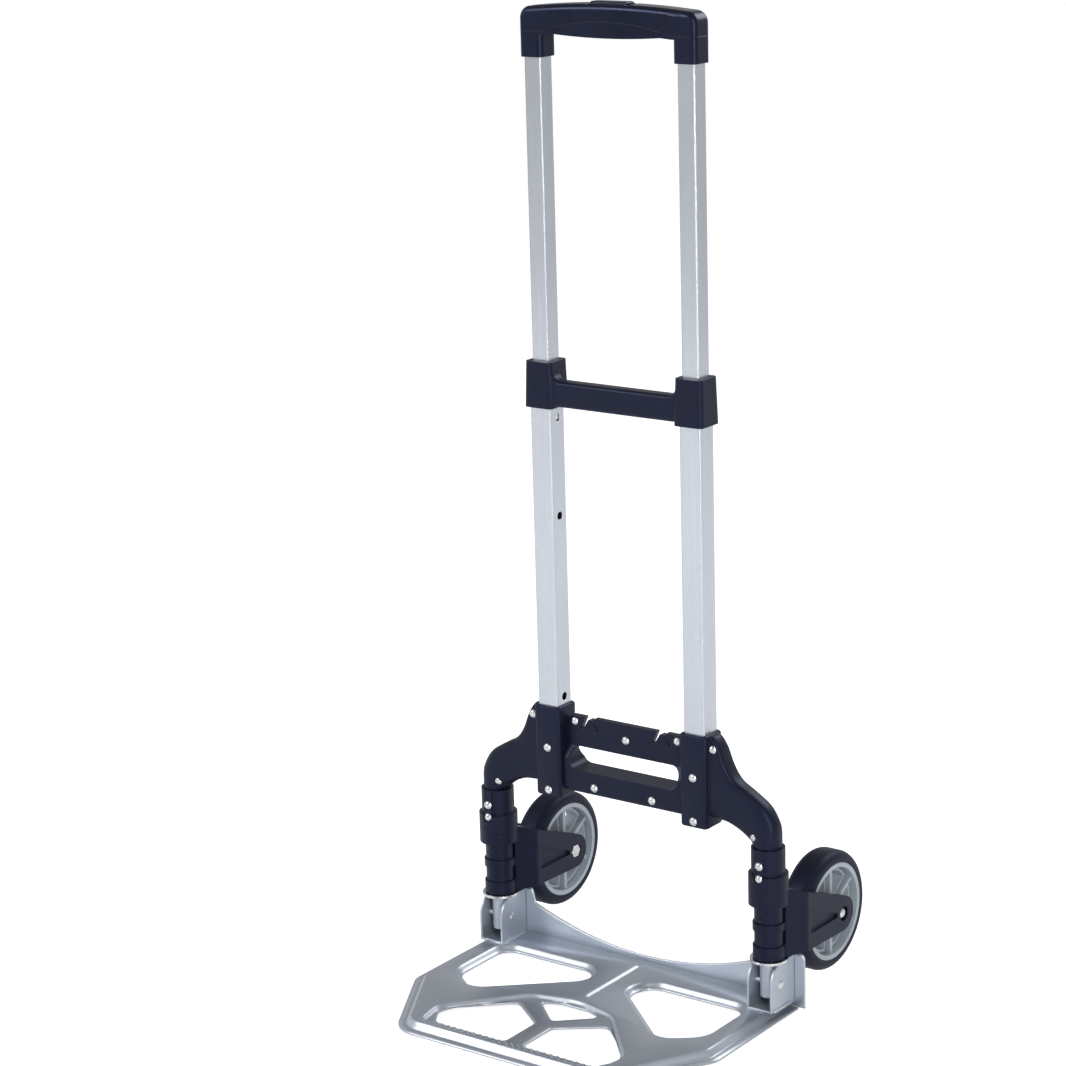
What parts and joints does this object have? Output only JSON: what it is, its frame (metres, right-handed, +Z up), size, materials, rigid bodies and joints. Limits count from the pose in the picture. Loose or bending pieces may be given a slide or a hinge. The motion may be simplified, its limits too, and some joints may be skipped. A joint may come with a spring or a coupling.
{
  "type": "folding hand truck",
  "caption": "Folding luggage hand truck with a telescopic square-tube handle, swing-out wheels and a folding pressed toe plate.",
  "frame": {"origin": "centre of the footprint, on the plane under the toe plate's border", "axes": "+Z up along the rails, +X to the right, +Y to the rear, where the wheels are; the toe plate points to -Y"},
  "size_m": [0.3936, 0.407, 1.0155],
  "materials": {
    "rail_aluminium": "satin",
    "black_plastic": "satin",
    "silver_paint": "satin",
    "zinc_steel": "satin",
    "tyre_rubber": "matte",
    "hub_plastic": "satin"
  },
  "bodies": {
    "frame": {"outer_tube_left": "rail_aluminium", "outer_tube_right": "rail_aluminium", "mid_crossbar": "black_plastic", "side_arm_left": "black_plastic", "side_arm_right": "black_plastic", "cross_plate": "black_plastic", "housing_rivets": "zinc_steel", "arm_rivets": "zinc_steel", "plate_rivets": "zinc_steel", "rail_rivets": "zinc_steel", "collar_rivets": "zinc_steel", "sleeve_screws": "zinc_steel", "lower_tube_left": "silver_paint", "lower_tube_right": "silver_paint", "guide_sleeve_left": "black_plastic", "guide_sleeve_right": "black_plastic", "cam_collar_left": "black_plastic", "cam_collar_right": "black_plastic"},
    "handle": {"inner_tube_left": "rail_aluminium", "inner_tube_right": "rail_aluminium", "handle_lower_shell": "black_plastic", "handle_upper_shell": "black_plastic", "lock_block_left": "black_plastic", "lock_block_right": "black_plastic", "slide_bush_left": "black_plastic", "slide_bush_right": "black_plastic"},
    "button": {"release_button": "black_plastic", "release_yoke": "black_plastic", "push_rod_left": "zinc_steel", "push_rod_right": "zinc_steel"},
    "lock_pin_left": {"lock_pin_left": "zinc_steel"},
    "lock_pin_right": {"lock_pin_right": "zinc_steel"},
    "toe": {"toe_plate": "silver_paint", "bracket_left": "silver_paint", "bracket_right": "silver_paint", "hinge_pins": "zinc_steel"},
    "lift_left": {"lift_washer_left": "zinc_steel"},
    "fork_left": {"fork_left": "black_plastic", "axle_bolt_left": "zinc_steel", "axle_nut_left": "zinc_steel", "axle_spacers_left": "zinc_steel"},
    "wheel_left": {"tyre_left": "tyre_rubber", "hub_left": "hub_plastic", "wheel_bush_left": "hub_plastic"},
    "lift_right": {"lift_washer_right": "zinc_steel"},
    "fork_right": {"fork_right": "black_plastic", "axle_bolt_right": "zinc_steel", "axle_nut_right": "zinc_steel", "axle_spacers_right": "zinc_steel"},
    "wheel_right": {"tyre_right": "tyre_rubber", "hub_right": "hub_plastic", "wheel_bush_right": "hub_plastic"}
  },
  "joints": [
    {"name": "handle_slide", "type": "slide", "parent": "frame", "child": "handle", "axis": [0, 0, 1], "range_m": [-0.2975, 0]},
    {"name": "button_press", "type": "slide", "parent": "handle", "child": "button", "axis": [0, 0, -1], "range_m": [0, 0.006], "stiffness_N_per_m": 400, "springref_m": -0.01},
    {"name": "toe_plate_fold", "type": "hinge", "parent": "frame", "child": "toe", "pos_m": [0, 0.0365, 0.0353], "axis": [-1, 0, 0], "range_deg": [0, 90]},
    {"name": "lock_pin_left_slide", "type": "slide", "parent": "handle", "child": "lock_pin_left", "axis": [1, 0, 0], "range_m": [0, 0.0025]},
    {"name": "lift_left_slide", "type": "slide", "parent": "frame", "child": "lift_left", "axis": [0, 0, -1], "range_m": [0, 0.005]},
    {"name": "fork_left_swing", "type": "hinge", "parent": "lift_left", "child": "fork_left", "pos_m": [-0.1698, 0.0365, 0.1], "axis": [0, 0, -1], "range_deg": [0, 90]},
    {"name": "wheel_left_spin", "type": "hinge", "parent": "fork_left", "child": "wheel_left", "pos_m": [-0.1698, 0.14, 0.0795], "axis": [1, 0, 0], "continuous": true},
    {"name": "lock_pin_right_slide", "type": "slide", "parent": "handle", "child": "lock_pin_right", "axis": [-1, 0, 0], "range_m": [0, 0.0025]},
    {"name": "lift_right_slide", "type": "slide", "parent": "frame", "child": "lift_right", "axis": [0, 0, -1], "range_m": [0, 0.005]},
    {"name": "fork_right_swing", "type": "hinge", "parent": "lift_right", "child": "fork_right", "pos_m": [0.1698, 0.0365, 0.1], "axis": [0, 0, 1], "range_deg": [0, 90]},
    {"name": "wheel_right_spin", "type": "hinge", "parent": "fork_right", "child": "wheel_right", "pos_m": [0.1698, 0.14, 0.0795], "axis": [1, 0, 0], "continuous": true}
  ],
  "couplings": [
    {"joint": "lift_left_slide", "follows": "toe_plate_fold", "m_per_rad": 0.0031831},
    {"joint": "fork_left_swing", "follows": "toe_plate_fold", "ratio": 1},
    {"joint": "lift_right_slide", "follows": "toe_plate_fold", "m_per_rad": 0.0031831},
    {"joint": "fork_right_swing", "follows": "toe_plate_fold", "ratio": 1}
  ]
}
